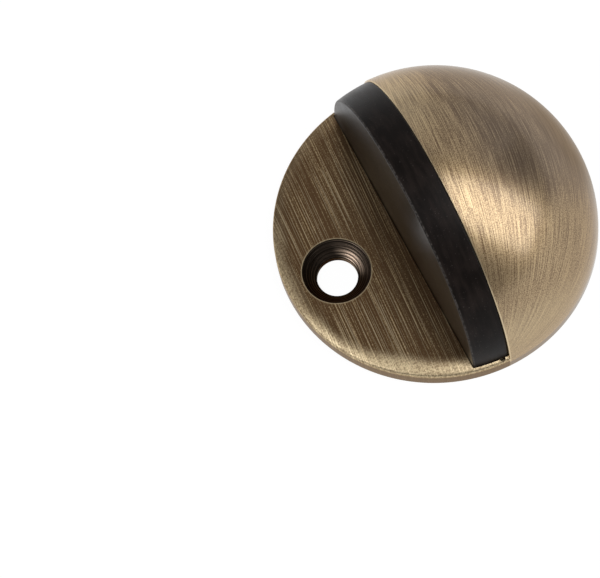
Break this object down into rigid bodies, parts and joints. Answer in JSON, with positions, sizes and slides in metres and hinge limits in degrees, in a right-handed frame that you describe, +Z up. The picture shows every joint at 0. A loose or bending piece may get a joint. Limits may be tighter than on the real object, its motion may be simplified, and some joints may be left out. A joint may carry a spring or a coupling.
{
  "type": "floor door stop",
  "caption": "Half-moon floor door stop: a brushed antique-brass half dome on a round base, with an upright rubber buffer at its flat face and a countersunk screw hole in the ledge.",
  "frame": {"origin": "centre of the round base, on the floor", "axes": "+Z up from the floor, +X from the screw ledge towards the dome, +Y along the rubber buffer"},
  "size_m": [0.045, 0.045, 0.0243],
  "materials": {
    "antique_brass": "brushed antique brass, darkened in the grain and rubbed bright at the rims",
    "black_rubber": "matt moulded black rubber"
  },
  "bodies": {
    "root": {"brass_body": "antique_brass", "rubber_buffer": "black_rubber"}
  },
  "joints": []
}
